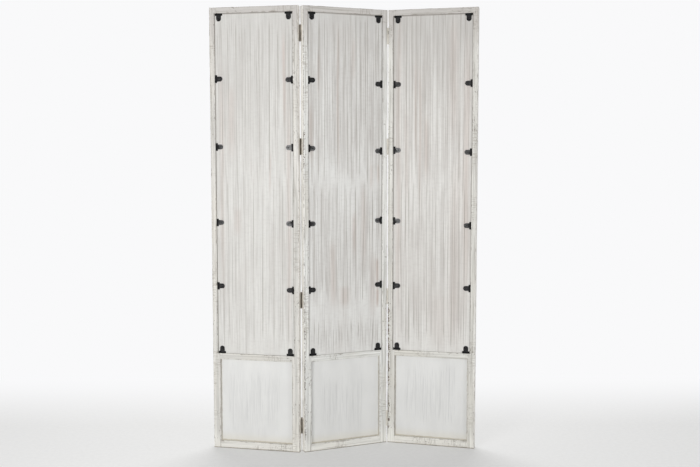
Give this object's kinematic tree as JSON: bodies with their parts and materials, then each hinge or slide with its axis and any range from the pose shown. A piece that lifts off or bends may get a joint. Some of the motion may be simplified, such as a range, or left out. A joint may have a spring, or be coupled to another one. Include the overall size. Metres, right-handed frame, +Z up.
{
  "type": "folding room divider screen",
  "caption": "Folding room divider screen of hinged, whitewashed wooden frames with plain boards above and below a middle rail, standing in a zigzag.",
  "frame": {"origin": "middle of the middle panel's underside, on the floor", "axes": "+Z up; X along the middle panel's width; -Y to the rear of the screen, the side with the recessed back boards and their brackets"},
  "size_m": [1.0163, 0.4763, 1.83],
  "materials": {
    "frame_wood": "distressed whitewash, matte, worn to grey-brown at the edges",
    "back_board": "brushed whitewash with upright grey and pinkish streaks, matte",
    "lower_panel": "smooth off-white paint with faint streaks and tan edges, matte",
    "bracket_steel": "black paint, low gloss",
    "bracket_screw": "black, low gloss",
    "bronze_hinge": "dark bronze, satin",
    "bronze_screw": "dark bronze, satin",
    "painted_hinge": "whitewash brushed over steel, chipped on the knuckles",
    "painted_screw": "whitewash brushed over steel"
  },
  "bodies": {
    "middle_panel": {"middle_panel_left_stile": "frame_wood", "middle_panel_right_stile": "frame_wood", "middle_panel_top_rail": "frame_wood", "middle_panel_middle_rail": "frame_wood", "middle_panel_bottom_rail": "frame_wood", "middle_panel_back_board": "back_board", "middle_panel_lower_panel": "lower_panel", "middle_panel_brackets": "bracket_steel", "middle_panel_bracket_screws": "bracket_screw", "left_hinge_1_fixed_leaf": "bronze_hinge", "left_hinge_1_pin": "bronze_hinge", "left_hinge_2_fixed_leaf": "bronze_hinge", "left_hinge_2_pin": "bronze_hinge", "left_hinge_3_fixed_leaf": "bronze_hinge", "left_hinge_3_pin": "bronze_hinge", "left_hinge_4_fixed_leaf": "bronze_hinge", "left_hinge_4_pin": "bronze_hinge", "right_hinge_1_fixed_leaf": "painted_hinge", "right_hinge_1_pin": "painted_hinge", "right_hinge_2_fixed_leaf": "painted_hinge", "right_hinge_2_pin": "painted_hinge", "right_hinge_3_fixed_leaf": "painted_hinge", "right_hinge_3_pin": "painted_hinge", "right_hinge_4_fixed_leaf": "painted_hinge", "right_hinge_4_pin": "painted_hinge", "left_hinge_fixed_leaf_screws": "bronze_screw", "right_hinge_fixed_leaf_screws": "painted_screw"},
    "left_panel": {"left_panel_left_stile": "frame_wood", "left_panel_right_stile": "frame_wood", "left_panel_top_rail": "frame_wood", "left_panel_middle_rail": "frame_wood", "left_panel_bottom_rail": "frame_wood", "left_panel_back_board": "back_board", "left_panel_lower_panel": "lower_panel", "left_panel_brackets": "bracket_steel", "left_panel_bracket_screws": "bracket_screw", "left_hinge_1_moving_leaf": "bronze_hinge", "left_hinge_2_moving_leaf": "bronze_hinge", "left_hinge_3_moving_leaf": "bronze_hinge", "left_hinge_4_moving_leaf": "bronze_hinge", "left_hinge_moving_leaf_screws": "bronze_screw"},
    "right_panel": {"right_panel_left_stile": "frame_wood", "right_panel_right_stile": "frame_wood", "right_panel_top_rail": "frame_wood", "right_panel_middle_rail": "frame_wood", "right_panel_bottom_rail": "frame_wood", "right_panel_back_board": "back_board", "right_panel_lower_panel": "lower_panel", "right_panel_brackets": "bracket_steel", "right_panel_bracket_screws": "bracket_screw", "right_hinge_1_moving_leaf": "painted_hinge", "right_hinge_2_moving_leaf": "painted_hinge", "right_hinge_3_moving_leaf": "painted_hinge", "right_hinge_4_moving_leaf": "painted_hinge", "right_hinge_moving_leaf_screws": "painted_screw"}
  },
  "joints": [
    {"name": "left_fold", "type": "hinge", "parent": "middle_panel", "child": "left_panel", "pos_m": [-0.1877, 0.0182, 0.915], "axis": [0, 0, -1], "range_deg": [-35, 145]},
    {"name": "right_fold", "type": "hinge", "parent": "middle_panel", "child": "right_panel", "pos_m": [0.1877, -0.0182, 0.915], "axis": [0, 0, -1], "range_deg": [-38, 142]}
  ]
}
